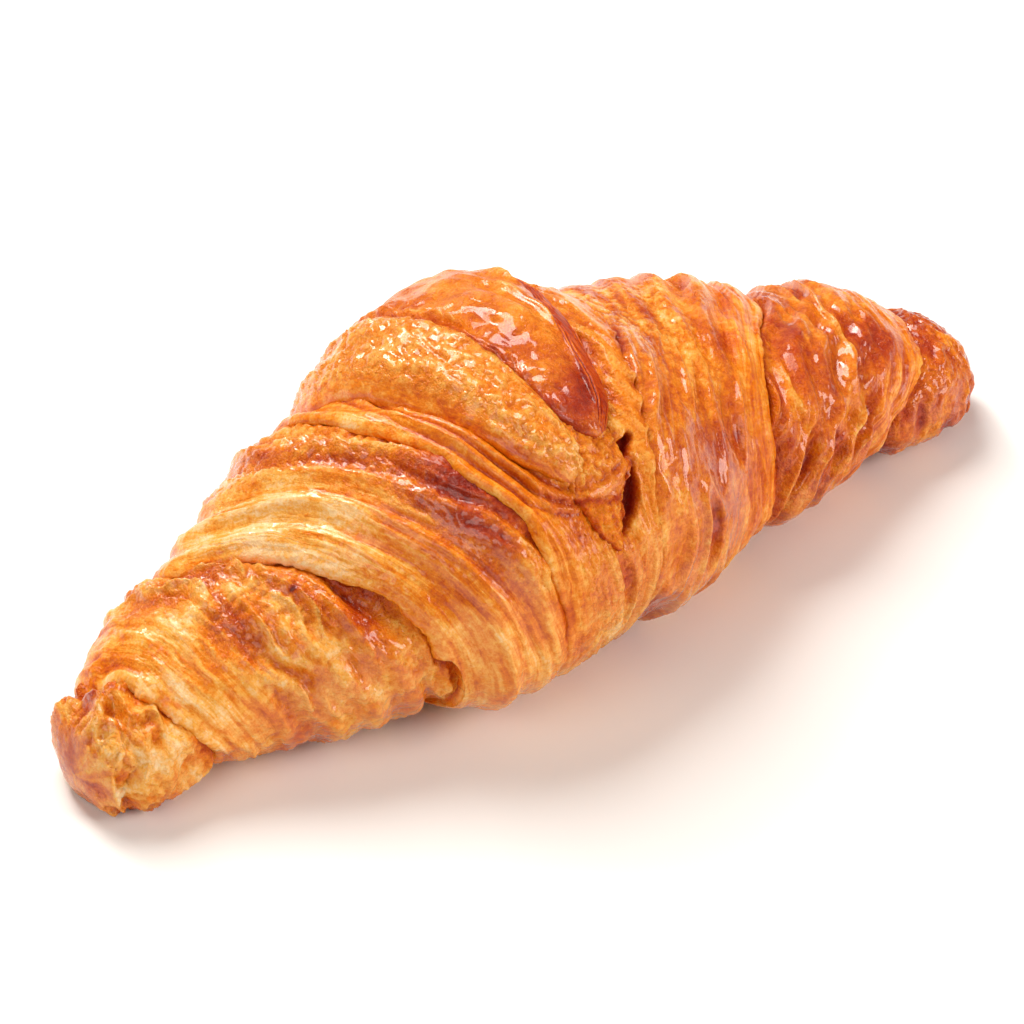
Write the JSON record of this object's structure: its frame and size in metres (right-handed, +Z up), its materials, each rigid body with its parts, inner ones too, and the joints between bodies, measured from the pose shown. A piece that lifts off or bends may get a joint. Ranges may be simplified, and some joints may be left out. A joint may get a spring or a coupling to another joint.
{
  "type": "croissant",
  "caption": "Baked butter croissant: a nearly straight roll, widest in the middle, with stepped flaky turns and the point of its last turn on the front.",
  "frame": {"origin": "on the surface that the croissant rests on, under the middle of its footprint", "axes": "+X along the roll, from the blunt tip to the slim tip; the point of the last turn is on the -Y side; +Z up"},
  "size_m": [0.1776, 0.0712, 0.0544],
  "materials": {
    "crust": "satin"
  },
  "bodies": {
    "root": {"croissant": "crust"}
  },
  "joints": []
}
